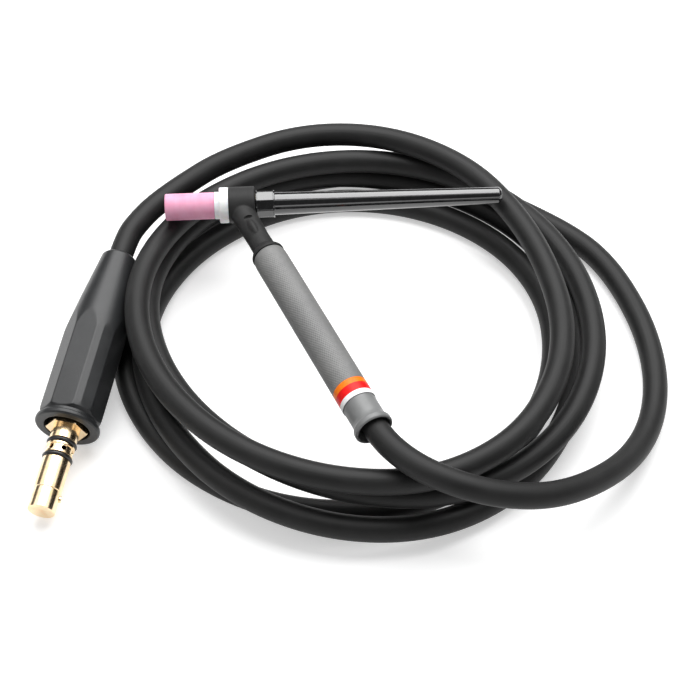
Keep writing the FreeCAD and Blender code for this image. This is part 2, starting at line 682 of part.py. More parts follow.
def coil():
    """The cable's turns: one tube on quarter-turn biarcs, cut flat where it stands on the floor."""
    diameter = 2 * cable_radius.value
    corners = [coil_corner(i) for i in range(len(COIL_CORNERS))]
    lead_in = corners[0][0] - corners[0][1] * diameter
    lead_out = corners[-1][0] + corners[-1][1] * diameter
    edges = [Part.LineSegment(lead_in, corners[0][0]).toShape()]
    trail = []
    radii = []
    fine = 24
    for (start, start_heading), (end, end_heading) in zip(corners, corners[1:]):
        first, second, radius = biarc(start, start_heading, end, end_heading, fine)
        for points in (first, second):
            edges.append(Part.Arc(points[0], points[fine // 2], points[-1]).toShape())
            trail += points[:-1]
        radii.append(radius)
    edges.append(Part.LineSegment(corners[-1][0], lead_out).toShape())
    print("coil radii", [round(r) for r in radii])
    print(f"coil least gap {least_gap(trail) - diameter:.2f} mm")
    tube = pipe(edges, lead_in, corners[0][1])
    keep(solid("cable_coil", stand(tube)), "cable_coil")
    return (lead_in, corners[0][1]), (lead_out, corners[-1][1])


def stand(tube):
    """Cut a tube flat where it stands on the floor."""
    slab = Part.makeBox(800, 800, 20, Vector(-300, -500, -floor_drop.value - 20))
    return tube.cut(slab)


def least_gap(trail):
    """Least distance between points of the coil that lie more than half a turn apart."""
    apart = 48
    least = 1e9
    for i, point in enumerate(trail):
        for other in trail[i + apart:]:
            least = min(least, point.distanceToPoint(other))
    return least


def lead(node, points):
    """A free stretch of cable: straight runs joined by tangent arcs."""
    share = 0.45
    edges = []
    last = points[0]
    radii = []
    for before, corner, after in zip(points, points[1:], points[2:]):
        into = (corner - before).normalize()
        onward = (after - corner).normalize()
        run = min((corner - before).Length, (after - corner).Length)
        half = into.getAngle(onward) / 2
        radius = share * run / math.tan(half)
        start = corner - into * (share * run)
        end = corner + onward * (share * run)
        inward = (onward - into).normalize()
        middle = corner + inward * (radius / math.cos(half) - radius)
        edges.append(Part.LineSegment(last, start).toShape())
        edges.append(Part.Arc(start, middle, end).toShape())
        radii.append(radius)
        last = end
    edges.append(Part.LineSegment(last, points[-1]).toShape())
    print(node, "radii", [round(r) for r in radii])
    keep(solid(node, stand(pipe(edges, points[0], points[1] - points[0]))), node)


def cable():
    """The coil and the two free stretches that join it to the boot and to the handle."""
    (coil_in, way_in), (coil_out, way_out) = coil()
    run = lead_run.value
    middle = [Vector(*p) for p in PLUG_LEAD]
    first = PLUG_CABLE_END + PLUG_AXIS * run
    lead("plug_lead", [PLUG_CABLE_END, first] + middle + [coil_in - way_in * run, coil_in])
    route = [Vector(*p) for p in HANDLE_LEAD]
    handle_mouth = along_handle(HANDLE_END + 2.5)
    handle_exit = along_handle(GRIP_END + 1.3)
    lead("handle_lead", [coil_out, coil_out + way_out * (run * 1.7)] + route + [handle_mouth, handle_exit])


def write():
    """Check every object and write one file for each node."""
    doc.recompute()
    for thing in doc.Objects:
        if "Invalid" in thing.State or "Error" in thing.State:
            raise RuntimeError(f"{thing.Name} failed: {thing.State}")
    for thing, node in parts:
        if thing.Shape.isNull() or not thing.Shape.isValid():
            raise RuntimeError(f"{node} has no valid shape")
    os.makedirs("parts", exist_ok=True)
    for thing, node in parts:
        thing.Shape.exportStep(os.path.join("parts", node + ".step"))
        box = thing.Shape.BoundBox
        print(f"{node}: {len(thing.Shape.Solids)} solid, {thing.Shape.Volume:.0f} mm3, lowest {box.ZMin:.2f}")


doc.recompute()
front_end()
head()
back_cap()
handle()
cable_union()
plug()
cable()
write()
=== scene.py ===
"""TIG torch lying on its own coiled cable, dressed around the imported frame.

Lengths in this file are millimetres in the frame's own axes, and go to metres where a mesh is made.
"""

import math

import bpy
import numpy as np
from mathutils import Matrix


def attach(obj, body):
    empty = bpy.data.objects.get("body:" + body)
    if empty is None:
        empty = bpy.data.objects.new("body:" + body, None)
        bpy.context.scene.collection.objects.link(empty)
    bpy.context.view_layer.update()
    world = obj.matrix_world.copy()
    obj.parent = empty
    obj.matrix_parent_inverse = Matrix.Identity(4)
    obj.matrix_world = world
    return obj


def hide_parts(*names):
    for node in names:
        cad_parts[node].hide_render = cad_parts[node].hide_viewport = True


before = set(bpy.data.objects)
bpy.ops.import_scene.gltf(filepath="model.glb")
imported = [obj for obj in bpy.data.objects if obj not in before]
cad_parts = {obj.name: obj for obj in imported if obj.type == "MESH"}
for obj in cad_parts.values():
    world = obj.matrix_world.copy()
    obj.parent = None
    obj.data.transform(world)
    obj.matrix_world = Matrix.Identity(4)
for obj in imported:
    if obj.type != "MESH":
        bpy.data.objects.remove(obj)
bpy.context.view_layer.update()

MM = 0.001
TURN = 2 * math.pi
FLOOR = -60.0
TINY = 1e-6


def unit(vector):
    """Vectors of length one along the last axis."""
    vector = np.asarray(vector, float)
    return vector / np.linalg.norm(vector, axis=-1, keepdims=True)


# Camera and light

EYE = np.array([80.2, -755.4, 755.0])
AIM = np.array([111.6, -72.2, FLOOR])
LENS = 87.43
ROLL = math.radians(0.25)
RISE = 0.001


def point_at(thing, place, target, roll=0.0):
    """Put a lamp or camera at a place, looking at a target, its sides level but for the roll."""
    back = unit(np.subtract(place, target))
    level = unit(np.cross((0, 0, 1), back))
    side = math.cos(roll) * level - math.sin(roll) * np.cross(back, level)
    up = np.cross(back, side)
    columns = np.column_stack([side, up, back, np.multiply(place, MM)])
    thing.matrix_world = Matrix([*columns.tolist(), [0, 0, 0, 1]])


def link(thing):
    """Put an object in the scene and give it back."""
    bpy.context.scene.collection.objects.link(thing)
    return thing


def camera():
    """The photograph's view, its roll and its slight rise in the frame."""
    data = bpy.data.cameras.new("camera")
    data.sensor_width = 36.0
    data.lens = LENS
    data.clip_start = 0.05
    data.clip_end = 30.0
    data.shift_y = RISE
    thing = link(bpy.data.objects.new("camera", data))
    point_at(thing, EYE, AIM, ROLL)
    bpy.context.scene.camera = thing


def lamp(name, place, target, size, watts):
    """A soft white rectangular lamp, its sides in metres."""
    data = bpy.data.lights.new(name, "AREA")
    data.shape = "RECTANGLE"
    data.size, data.size_y = size
    data.energy = watts
    point_at(link(bpy.data.objects.new(name, data)), place, target)


# Shader writing

class Value:
    """A number at each point of a surface. Arithmetic on it adds Math nodes."""

    def __init__(self, nodes, socket):
        self.nodes = nodes
        self.socket = socket

    def math(self, operation, *terms):
        node = self.nodes.add("ShaderNodeMath", {"operation": operation}, dict(enumerate(terms)))
        return Value(self.nodes, node.outputs[0])

    def __add__(self, other):
        return self.math("ADD", self, other)

    def __sub__(self, other):
        return self.math("SUBTRACT", self, other)

    def __rsub__(self, other):
        return self.math("SUBTRACT", other, self)

    def __mul__(self, other):
        return self.math("MULTIPLY", self, other)

    __radd__ = __add__
    __rmul__ = __mul__

    def higher(self, other):
        return self.math("MAXIMUM", self, other)

    def ramp(self, low, high):
        """Zero below low, one above high, smooth between."""
        sockets = {"Value": self, "From Min": low, "From Max": high}
        node = self.nodes.add("ShaderNodeMapRange", {"interpolation_type": "SMOOTHSTEP"}, sockets)
        return Value(self.nodes, node.outputs[0])


class Nodes:
    """A node tree and the one method that adds to it."""

    def __init__(self, tree):
        self.tree = tree
        tree.nodes.clear()

    def add(self, kind, settings=None, sockets=None):
        node = self.tree.nodes.new(kind)
        for name, setting in (settings or {}).items():
            setattr(node, name, setting)
        for key, value in (sockets or {}).items():
            value = value.socket if isinstance(value, Value) else value
            if isinstance(value, bpy.types.NodeSocket):
                self.tree.links.new(value, node.inputs[key])
            else:
                node.inputs[key].default_value = value
        return node

    def where(self, kind, stretch=(1, 1, 1)):
        """Object or UV coordinates, stretched."""
        source = self.add("ShaderNodeTexCoord").outputs[kind]
        return self.vector("MULTIPLY", source, stretch).outputs[0]

    def vector(self, operation, first, second=(0, 0, 0)):
        """One step of vector arithmetic, as its node."""
        return self.add("ShaderNodeVectorMath", {"operation": operation}, {0: first, 1: second})

    def part_of(self, vector, letter):
        """One coordinate of a vector."""
        node = self.add("ShaderNodeSeparateXYZ", {}, {0: vector})
        return Value(self, node.outputs[letter])

    def noise(self, scale, detail=2.0, kind="Object", stretch=(1, 1, 1)):
        """Smooth noise about one half, on features of about 1 / scale metres."""
        sockets = {"Vector": self.where(kind, stretch), "Scale": scale, "Detail": detail}
        return Value(self, self.add("ShaderNodeTexNoise", {}, sockets).outputs[0])

    def mix(self, factor, first, second):
        """Colour between two colours."""
        sockets = {0: factor, 6: first, 7: second}
        return self.add("ShaderNodeMix", {"data_type": "RGBA"}, sockets).outputs[2]

    def tones(self, pattern, first, second, low=0.3, high=0.7):
        """Colour from one screen colour to another as a pattern goes from low to high."""
        return self.mix(pattern.ramp(low, high), colour(*first), colour(*second))


class Finish(Nodes):
    """A material: a Principled shader and the patterns that feed it."""

    def __init__(self, name, roughness, **fixed):
        self.material = bpy.data.materials.new(name)
        self.material.use_nodes = True
        super().__init__(self.material.node_tree)
        self.shader = self.add("ShaderNodeBsdfPrincipled", {}, {"Roughness": roughness})
        for socket, value in fixed.items():
            self.shader.inputs[socket.replace("_", " ")].default_value = value
        self.add("ShaderNodeOutputMaterial", {}, {0: self.shader.outputs[0]})

    def feed(self, socket, value):
        """Link what changes over the surface to a socket of the shader."""
        value = value.socket if isinstance(value, Value) else value
        self.tree.links.new(value, self.shader.inputs[socket])

    def bump(self, height, depth):
        """Relief of depth metres for each unit of height."""
        sockets = {"Strength": 1.0, "Distance": depth, "Height": height}
        self.feed("Normal", self.add("ShaderNodeBump", {}, sockets).outputs[0])


def colour(red, green, blue):
    """A colour given as it shows on a screen, 0 to 255, made linear."""
    shown = np.array([red, green, blue]) / 255.0
    linear = np.where(shown < 0.04045, shown / 12.92, ((shown + 0.055) / 1.055) ** 2.4)
    return (*map(float, linear), 1.0)


# Finishes

def cable_rubber():
    """Matte black extruded rubber: faint lines along it, a fine grain and dusty patches."""
    finish = Finish("cable_rubber", 0.5, Specular_IOR_Level=0.22)
    dust = finish.noise(60.0, 4.0)
    cloud = finish.noise(9.0, 3.0)
    grain = finish.noise(2600.0, 1.0)
    lines = finish.noise(1.0, 2.0, "UV", (46.0, 14.0, 0.0))
    finish.feed("Base Color", finish.tones(dust * 0.5 + cloud * 0.5, (26, 26, 26), (36, 36, 36), 0.35))
    finish.feed("Roughness", dust * 0.16 + lines * 0.1 + 0.38)
    finish.bump(grain * 0.35 + lines * 0.5, 0.00012)
    return finish.material


def moulded_rubber():
    """Dark grey silicone of the head and neck, dull, with a fine moulded grain."""
    finish = Finish("moulded_rubber", 0.55, Specular_IOR_Level=0.2)
    patch = finish.noise(140.0, 3.0)
    grain = finish.noise(3200.0, 1.0)
    finish.feed("Base Color", finish.tones(patch, (36, 36, 36), (46, 46, 46)))
    finish.feed("Roughness", patch * 0.16 + 0.5)
    finish.bump(grain * 0.4 + patch * 0.4, 0.00015)
    return finish.material


def boot_rubber():
    """Charcoal boot, smoother than the cable, with a satin sheen and faint scuffs."""
    finish = Finish("boot_rubber", 0.4, Specular_IOR_Level=0.35)
    scuff = finish.noise(55.0, 5.0, "UV", (3.0, 9.0, 0.0))
    patch = finish.noise(45.0, 3.0)
    grain = finish.noise(2200.0, 1.0)
    finish.feed("Base Color", finish.tones(patch, (34, 35, 36), (44, 45, 46)))
    finish.feed("Roughness", scuff * 0.1 + patch * 0.08 + 0.26)
    finish.bump(grain * 0.3 + scuff * 0.25, 0.00012)
    return finish.material


def fired_ceramic():
    """Pink alumina: satin, with pale cloud, fine specks and faint turning rings."""
    finish = Finish("fired_ceramic", 0.45, Specular_IOR_Level=0.3, Subsurface_Weight=0.12,
                    Subsurface_Scale=0.002)
    cloud = finish.noise(120.0, 3.0)
    speck = finish.noise(2400.0, 2.0)
    rings = finish.noise(1.0, 2.0, "UV", (0.6, 900.0, 0.0))
    finish.feed("Base Color", finish.tones(cloud * 0.85 + rings * 0.15, (238, 158, 190), (246, 178, 206)))
    finish.feed("Roughness", cloud * 0.14 + speck * 0.1 + 0.36)
    finish.bump(speck * 0.3 + rings * 0.4, 0.00006)
    return finish.material


def white_gasket():
    """Waxy white seal plastic with soft turning rings."""
    finish = Finish("white_gasket", 0.35, Subsurface_Weight=0.2, Subsurface_Scale=0.003)
    rings = finish.noise(1.0, 1.0, "UV", (0.5, 1500.0, 0.0))
    cloud = finish.noise(200.0, 2.0)
    finish.feed("Base Color", finish.tones(cloud, (248, 249, 250), (254, 254, 254)))
    finish.feed("Roughness", rings * 0.12 + 0.3)
    finish.bump(rings, 0.00004)
    return finish.material


def gloss_black():
    """Glossy black moulded cap with a trace of orange peel and hairline wear."""
    finish = Finish("gloss_black", 0.08, Specular_IOR_Level=1.0, Coat_Weight=0.3, Coat_Roughness=0.04)
    peel = finish.noise(420.0, 2.0)
    hairs = finish.noise(1.0, 3.0, "UV", (30.0, 260.0, 0.0))
    finish.feed("Base Color", finish.tones(peel, (16, 16, 17), (24, 24, 25)))
    finish.feed("Roughness", hairs.ramp(0.55, 0.8) * 0.08 + peel * 0.04 + 0.06)
    finish.bump(peel, 0.00003)
    return finish.material


def knurled_grey():
    """Mid-grey handle plastic in cloudy tones."""
    finish = Finish("knurled_grey", 0.5)
    cloud = finish.noise(40.0, 3.0)
    grain = finish.noise(3000.0, 1.0)
    speck = finish.noise(500.0, 2.0)
    finish.feed("Base Color", finish.tones(cloud * 0.6 + speck * 0.4, (108, 108, 108), (124, 124, 123)))
    finish.feed("Roughness", cloud * 0.12 + speck * 0.1 + 0.4)
    finish.bump(grain, 0.00004)
    return finish.material


def sleeve_plastic():
    """Smooth grey plastic of the handle's rear sleeve."""
    finish = Finish("sleeve_plastic", 0.42)
    cloud = finish.noise(90.0, 3.0)
    grain = finish.noise(2600.0, 1.0)
    finish.feed("Base Color", finish.tones(cloud, (114, 115, 115), (126, 127, 127)))
    finish.feed("Roughness", cloud * 0.14 + 0.36)
    finish.bump(grain * 0.6 + cloud, 0.00006)
    return finish.material


RED_FRONT = 167.4
WHITE_FRONT = 172.85
INK_BLUR = 0.08


def printed_band():
    """Orange, red and white rings of the handle's band under a clear film."""
    finish = Finish("printed_band", 0.4, Specular_IOR_Level=0.3)
    station = finish.part_of(finish.where("UV"), "Y")
    ink = finish.noise(700.0, 2.0)
    red, white = (station.ramp(front * MM, (front + INK_BLUR) * MM) for front in (RED_FRONT, WHITE_FRONT))
    orange = finish.tones(ink, (250, 118, 0), (255, 132, 10))
    scarlet = finish.tones(ink, (232, 2, 2), (244, 10, 8))
    pale = finish.tones(ink, (244, 244, 244), (252, 252, 252))
    finish.feed("Base Color", finish.mix(white, finish.mix(red, orange, scarlet), pale))
    finish.feed("Roughness", ink * 0.12 + 0.4)
    finish.bump(ink, 0.00002)
    return finish.material


def turned_brass():
    """Bright turned brass: fine rings from the tool and uneven tarnish, with painted shade in dark brown down
    in the gas holes.

    Distance from the pin's axis tells the pits, where the shade is painted, from the skin, and the solid tip
    stays bright.
    """
    finish = Finish("turned_brass", 0.16, Metallic=1.0)
    rings = finish.noise(1.0, 3.0, "UV", (0.4, 2600.0, 0.0))
    tarnish = finish.noise(160.0, 4.0)
    way = tuple(map(float, PLUG_WAY))
    foot = tuple(map(float, PLUG.foot * MM))
    place = finish.vector("SUBTRACT", finish.where("Object"), foot).outputs[0]
    across = finish.vector("CROSS_PRODUCT", place, way).outputs[0]
    radius = Value(finish, finish.vector("LENGTH", across).outputs["Value"])
    station = Value(finish, finish.vector("DOT_PRODUCT", place, way).outputs["Value"])
    solid_tip = 1.0 - station.ramp(0.015, 0.02)
    # Painted shade: inside the gas-hole pits the colour is dark brown; away from them, and on the solid tip,
    # it is the brass's own colour.
    clear_of_painted_shade = radius.ramp(0.0064, 0.0074).higher(solid_tip)
    bright = finish.tones(tarnish, (250, 226, 188), (236, 206, 160), 0.35, 0.75)
    finish.feed("Base Color", finish.mix(clear_of_painted_shade, colour(70, 48, 26), bright))
    finish.feed("Roughness", rings * 0.1 + tarnish * 0.1 + 0.1)
    finish.bump(rings, 0.00001)
    return finish.material


def hidden_metal(name, low, high, roughness):
    """Plainer metal of the pieces inside: drawn lines and a patchy surface."""
    finish = Finish(name, roughness, Metallic=1.0)
    patch = finish.noise(300.0, 4.0)
    finish.feed("Base Color", finish.tones(patch, low, high))
    finish.feed("Roughness", patch * 0.2 + roughness - 0.1)
    finish.bump(finish.noise(1800.0, 2.0), 0.00003)
    return finish.material


def seal_rubber():
    """Smooth black seal with a slight oily sheen."""
    finish = Finish("seal_rubber", 0.3)
    film = finish.noise(500.0, 3.0)
    finish.feed("Base Color", finish.tones(film, (20, 20, 20), (30, 30, 30)))
    finish.feed("Roughness", film * 0.2 + 0.22)
    finish.bump(film, 0.00003)
    return finish.material


# Shapes

class Axis:
    """A straight axis: a foot, the way along it, and the two ways across it."""

    def __init__(self, foot, along, up):
        self.foot = np.array(foot, float)
        self.along = unit(along)
        self.side = unit(np.cross(self.along, up))
        self.up = np.cross(self.side, self.along)

    def place(self, station, radius, angle):
        """Foot plus station along, plus radius at the angle, which runs from the side to the top."""
        across = np.cos(angle)[..., None] * self.side + np.sin(angle)[..., None] * self.up
        middle = self.foot + np.asarray(station)[..., None] * self.along
        return middle + np.asarray(radius)[..., None] * across


TORCH = Axis((0, 0, 0), (1, 0, 0), (0, 0, 1))
NECK_TURN = math.radians(67.4)
HANDLE = Axis((44.9, 0, 0), (math.cos(NECK_TURN), -math.sin(NECK_TURN), 0), (0, 0, 1))
PLUG_WAY = unit((0.2287, 0.9634, 0.1394))
PLUG_FLANGE = np.array([-58.6, -139.8, -40.55])
FLANGE_STATION = 55.1
PLUG = Axis(PLUG_FLANGE - PLUG_WAY * FLANGE_STATION, PLUG_WAY, EYE - PLUG_FLANGE)
BOOT_LENGTH = 123.8
HANDLE_MOUTH = 196.0


def rounded(corners, loop=True, steps=6):
    """Profile through (station, radius, rounding) corners, each turned by an arc of its rounding.

    Each corner keeps two points one tangent length away from it, and the arc between them is
    drawn as the quadratic blend of the two tangents, which is close to round at these turns.
    """
    corners = np.array(corners, float)
    spot = corners[:, :2]
    before = np.roll(spot, 1, axis=0) - spot
    after = np.roll(spot, -1, axis=0) - spot
    reach_before = np.linalg.norm(before, axis=1)
    reach_after = np.linalg.norm(after, axis=1)
    cosine = (before * after).sum(axis=1) / (reach_before * reach_after)
    half = np.arccos(np.clip(cosine, -1, 1)) / 2
    tangent = corners[:, 2] / np.tan(np.clip(half, 0.05, None))
    tangent = np.minimum(tangent, 0.49 * np.minimum(reach_before, reach_after))
    t = np.linspace(0, 1, steps)[None, :, None]
    start = spot + before * (tangent / reach_before)[:, None]
    end = spot + after * (tangent / reach_after)[:, None]
    middle = spot[:, None]
    arcs = start[:, None] * (1 - t) ** 2 + middle * 2 * t * (1 - t) + end[:, None] * t ** 2
    sharp = tangent < TINY
    rows = [arcs[i, :1] if sharp[i] or (not loop and i in (0, len(spot) - 1)) else arcs[i]
            for i in range(len(spot))]
    if not loop:
        rows[0], rows[-1] = spot[:1], spot[-1:]
    return np.vstack(rows)


def refined(profile, step, loop=True):
    """The same profile with no run longer than step."""
    ends = np.roll(profile, -1, axis=0) if loop else profile[1:]
    starts = profile if loop else profile[:-1]
    counts = np.maximum(1, np.ceil(np.linalg.norm(ends - starts, axis=1) / step).astype(int))
    rows = [a + (b - a) * np.linspace(0, 1, n, endpoint=False)[:, None]
            for a, b, n in zip(starts, ends, counts)]
    return np.vstack(rows + ([] if loop else [profile[-1:]]))


def ring_profile(corners, step, steps=6):
    """Closed profile through the corners, rounded and refined."""
    return refined(rounded(corners, steps=steps), step)


def rod_profile(corners, step, steps=6):
    """Open profile through the corners, rounded and refined, with its ends as they are."""
    return refined(rounded(corners, False, steps), step, False)


def skin(name, grid, along, loop=True, sharp=40.0):
    """A closed-round surface over a grid of points, rows along it and columns round it.

    The UV map holds the share of the turn, and the distance given for each row, in metres.
    """
    rows, columns = grid.shape[:2]
    index = np.arange(rows * columns).reshape(rows, columns)
    pole = np.ptp(grid, axis=1).max(axis=1) < TINY
    index[pole] = index[pole][:, :1]
    last = rows if loop else rows - 1
    row = np.repeat(np.arange(last), columns)
    column = np.tile(np.arange(columns), last)
    below = (row + 1) % rows
    beside = (column + 1) % columns
    quads = np.stack([index[row, column], index[row, beside], index[below, beside], index[below, column]], 1)
    turns = np.stack([column, column + 1, column + 1, column], 1) / columns
    reach = np.stack([along[row], along[row], along[below], along[below]], 1) * MM
    points = grid.reshape(-1, 3) * MM
    corners = points[quads]
    volume = np.einsum("ij,ij->i", corners[:, 0], np.cross(corners[:, 1], corners[:, 2])).sum()
    volume += np.einsum("ij,ij->i", corners[:, 0], np.cross(corners[:, 2], corners[:, 3])).sum()
    if volume < 0:
        quads, turns, reach = quads[:, ::-1], turns[:, ::-1], reach[:, ::-1]
    keep = quads != np.roll(quads, 1, axis=1)
    kept, quads = np.unique(quads, return_inverse=True)
    quads = quads.reshape(keep.shape)
    sizes = keep.sum(axis=1)
    mesh = bpy.data.meshes.new(name)
    mesh.vertices.add(len(kept))
    mesh.vertices.foreach_set("co", points[kept].ravel())
    mesh.loops.add(int(sizes.sum()))
    mesh.loops.foreach_set("vertex_index", quads[keep])
    mesh.polygons.add(len(sizes))
    mesh.polygons.foreach_set("loop_start", np.concatenate([[0], np.cumsum(sizes)[:-1]]))
    mesh.polygons.foreach_set("use_smooth", np.ones(len(sizes), bool))
    layer = mesh.uv_layers.new(name="UVMap")
    layer.data.foreach_set("uv", np.stack([turns[keep], reach[keep]], 1).ravel())
    mesh.update(calc_edges=True)
    mesh.validate()
    mesh.set_sharp_from_angle(angle=math.radians(sharp))
    return link(bpy.data.objects.new(name, mesh))


def turned(name, axis, profile, around=96, shape=None, loop=True, sharp=40.0):
    """A profile of (station, radius) turned about an axis; shape changes the radius by station and angle."""
    station = np.repeat(profile[:, :1], around, axis=1)
    radius = np.repeat(profile[:, 1:], around, axis=1)
    angle = np.arange(around)[None, :] * TURN / around + 0 * radius
    if shape is not None:
        radius = shape(station, radius, angle)
    return skin(name, axis.place(station, radius, angle), profile[:, 0], loop, sharp)


def dress(piece, finish, body, slot, *nodes):
    """Give a piece its finish, its body and the frame nodes it stands for. The slot is not used."""
    piece.data.materials.clear()
    piece.data.materials.append(finish)
    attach(piece, body)
    if nodes:
        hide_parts(*nodes)
    return piece


def soft_lowest(first, second, width):
    """The lower of two values, rounded over where they are within width of each other."""
    share = np.clip(0.5 + 0.5 * (second - first) / width, 0, 1)
    return second + (first - second) * share - width * share * (1 - share)


def facets(corner_angles, corner_radius):
    """Radius of a polygon with corners at these angles and this radius, by angle."""
    edges = np.radians(np.sort(np.asarray(corner_angles, float)))
    ends = np.append(edges[1:], edges[0] + TURN)

    def radius(angle):
        turned_angle = (angle - edges[0]) % TURN + edges[0]
        side = np.searchsorted(edges, turned_angle, side="right") - 1
        middle = (edges[side] + ends[side]) / 2
        half = (ends[side] - edges[side]) / 2
        return corner_radius * np.cos(half) / np.cos(turned_angle - middle)

    return radius


# Cable

COIL_MIDDLE = np.array([123.0, -66.0])
COIL_START_ANGLE = 135.0
CABLE_RADIUS = 7.5
LEAD_RUN = 16.0
NEAR_COIL = 8.0
IN_BOOT = 12.0
IN_HANDLE = 24.5
OUT_OF_HANDLE = 2.5

# Corners of the coil, clockwise from the rear left: reach from the coil's middle,
# slant outwards in degrees, and height of the cable's middle above the floor.
COIL_CORNERS = (
    (155.5, 0, 40.2), (118.5, -14, 47.4), (131, 10, 41), (139.5, 0, 49),
    (132, -9, 41), (132, 0, 28), (143, 1, 24), (130, -1, 34.2),
    (136, -6, 25), (131, 1, 12.2), (140, 9, 7.5), (146.5, -6, 22.5),
    (129, -7, 7), (115.5, 1, 7), (121, 6, 7), (145, 6, 7),
    (147.5, -4.5, 7), (149.5, 5, 7),
)

# Free stretch from the coil round the right and over the front turns into the handle
HANDLE_LEAD = (
    (277.5, -8.5, -53), (289.5, -38.5, -53), (297.2, -74, -53), (297.5, -111, -53), (288.7, -145.5, -51),
    (271.5, -175, -43.5), (247.5, -199, -32), (218.5, -217.5, -19), (188, -223.5, -8), (160.5, -218.5, -1),
    (137.5, -205, 1),
)

# Middle of the free stretch from the plug's boot up to the coil
PLUG_LEAD = ((-18.4, 9.3, -20.2),)


def coil_corners():
    """Place and heading of each corner, a quarter turn after the one before it."""
    reach, slant, height = np.array(COIL_CORNERS, float).T
    angle = np.radians(COIL_START_ANGLE - 90.0 * np.arange(len(reach)))
    lean = np.radians(slant)
    level = np.zeros_like(reach)
    out = np.stack([np.cos(angle), np.sin(angle), level], 1)
    forward = np.stack([np.sin(angle), -np.cos(angle), level], 1)
    middle = np.array([*COIL_MIDDLE, FLOOR])
    place = middle + out * reach[:, None] + np.array([0, 0, 1.0]) * height[:, None]
    return place, forward * np.cos(lean)[:, None] + out * np.sin(lean)[:, None]


def arc(start, heading, end, shares):
    """Points at shares of the arc that leaves start along heading and reaches end.

    The arc lies in the plane of the heading and the chord, and its half turn is the angle
    between them: middle of the circle plus radius times (sine along, cosine aside).
    """
    chord = end - start
    length = np.linalg.norm(chord, axis=1, keepdims=True)
    along = chord / length
    part = (heading * along).sum(axis=1, keepdims=True)
    aside = heading - along * part
    half = np.arctan2(np.linalg.norm(aside, axis=1, keepdims=True), part)
    aside = unit(aside)
    radius = length / (2 * np.sin(half))
    middle = start + chord / 2 - aside * radius * np.cos(half)
    sweep = (half * (2 * np.asarray(shares)[None] - 1))[:, :, None]
    across = np.sin(sweep) * along[:, None] + np.cos(sweep) * aside[:, None]
    return middle[:, None] + radius[:, None] * across


def coil_points():
    """Sixteen points a turn on the coil's quarter-turn pairs of arcs.

    Two arcs with equal tangent lengths join each corner to the next. A quadratic spline runs
    inside its control points by an eighth of their second difference, so they are set out by it.
    """
    place, heading = coil_corners()
    start, end = place[:-1], place[1:]
    into, onward = heading[:-1], heading[1:]
    chord = end - start
    bend = 2 * (1 - (into * onward).sum(axis=1))
    reach = (chord * (into + onward)).sum(axis=1)
    leg = (np.sqrt(reach ** 2 + bend * (chord ** 2).sum(axis=1)) - reach) / bend
    joint = (start + end) / 2 + (into - onward) * (leg / 2)[:, None]
    way = unit(joint - start)
    turned_heading = 2 * (into * way).sum(axis=1, keepdims=True) * way - into
    shares = (0.25, 0.75)
    halves = [arc(start, into, joint, shares), arc(joint, turned_heading, end, shares)]
    points = np.concatenate(halves, axis=1).reshape(-1, 3)
    drift = np.zeros_like(points)
    drift[1:-1] = points[:-2] - 2 * points[1:-1] + points[2:]
    return points - drift / 8, place, heading


def cable_route():
    """Control points of the whole cable, from inside the boot to inside the handle."""
    turns, place, heading = coil_points()
    boot_end = PLUG.foot + PLUG_WAY * (FLANGE_STATION + BOOT_LENGTH)
    coil_in = place[0] - heading[0] * 2 * CABLE_RADIUS
    coil_out = place[-1] + heading[-1] * 2 * CABLE_RADIUS
    mouth = HANDLE.foot + HANDLE.along * HANDLE_MOUTH
    rows = [boot_end - PLUG_WAY * IN_BOOT, boot_end + PLUG_WAY * LEAD_RUN]
    rows += [np.array(p, float) for p in PLUG_LEAD]
    rows += [coil_in - heading[0] * LEAD_RUN, coil_in + heading[0] * NEAR_COIL]
    rows += list(turns)
    rows += [coil_out - heading[-1] * NEAR_COIL, coil_out + heading[-1] * LEAD_RUN * 1.7]
    rows += [np.array(p, float) for p in HANDLE_LEAD]
    rows += [mouth + HANDLE.along * OUT_OF_HANDLE, mouth - HANDLE.along * IN_HANDLE]
    return np.array(rows)


def spline_path(points, per_span):
    """Points read from the quadratic NURBS spline through these control points."""
    data = bpy.data.curves.new("cable_line", "CURVE")
    data.dimensions = "3D"
    data.resolution_u = per_span
    spline = data.splines.new("NURBS")
    spline.points.add(len(points) - 1)
    spline.points.foreach_set("co", np.hstack([points * MM, np.ones((len(points), 1))]).ravel())
    spline.order_u = 3
    spline.use_endpoint_u = True
    line = link(bpy.data.objects.new("cable_line", data))
    graph = bpy.context.evaluated_depsgraph_get()
    mesh = bpy.data.meshes.new_from_object(line.evaluated_get(graph))
    path = np.empty(3 * len(mesh.vertices))
    mesh.vertices.foreach_get("co", path)
    bpy.data.objects.remove(line)
    bpy.data.meshes.remove(mesh)
    return path.reshape(-1, 3) / MM


def cable_tube(path, around=48):
    """A round tube along the path, closed at both ends and flat where it stands on the floor.

    Each ring is radius times (cosine of the side, sine of the upper side), the side being the
    path's heading crossed with up. Its foot is held at the floor.
    """
    heading = unit(np.gradient(path, axis=0))
    side = unit(np.cross(heading, (0.0, 0.0, 1.0)))
    up = np.cross(side, heading)
    angle = np.arange(around) * TURN / around
    ring = np.cos(angle)[None, :, None] * side[:, None] + np.sin(angle)[None, :, None] * up[:, None]
    grid = path[:, None] + CABLE_RADIUS * ring
    first, last = (np.repeat(path[end][None, None], around, 1) for end in (0, -1))
    grid = np.concatenate([first, grid, last])
    grid[..., 2] = np.maximum(grid[..., 2], FLOOR)
    run = np.concatenate([[0], np.cumsum(np.linalg.norm(np.diff(path, axis=0), axis=1))])
    run = np.concatenate([[run[0]], run, [run[-1]]])
    return skin("cable", grid, run, loop=False)


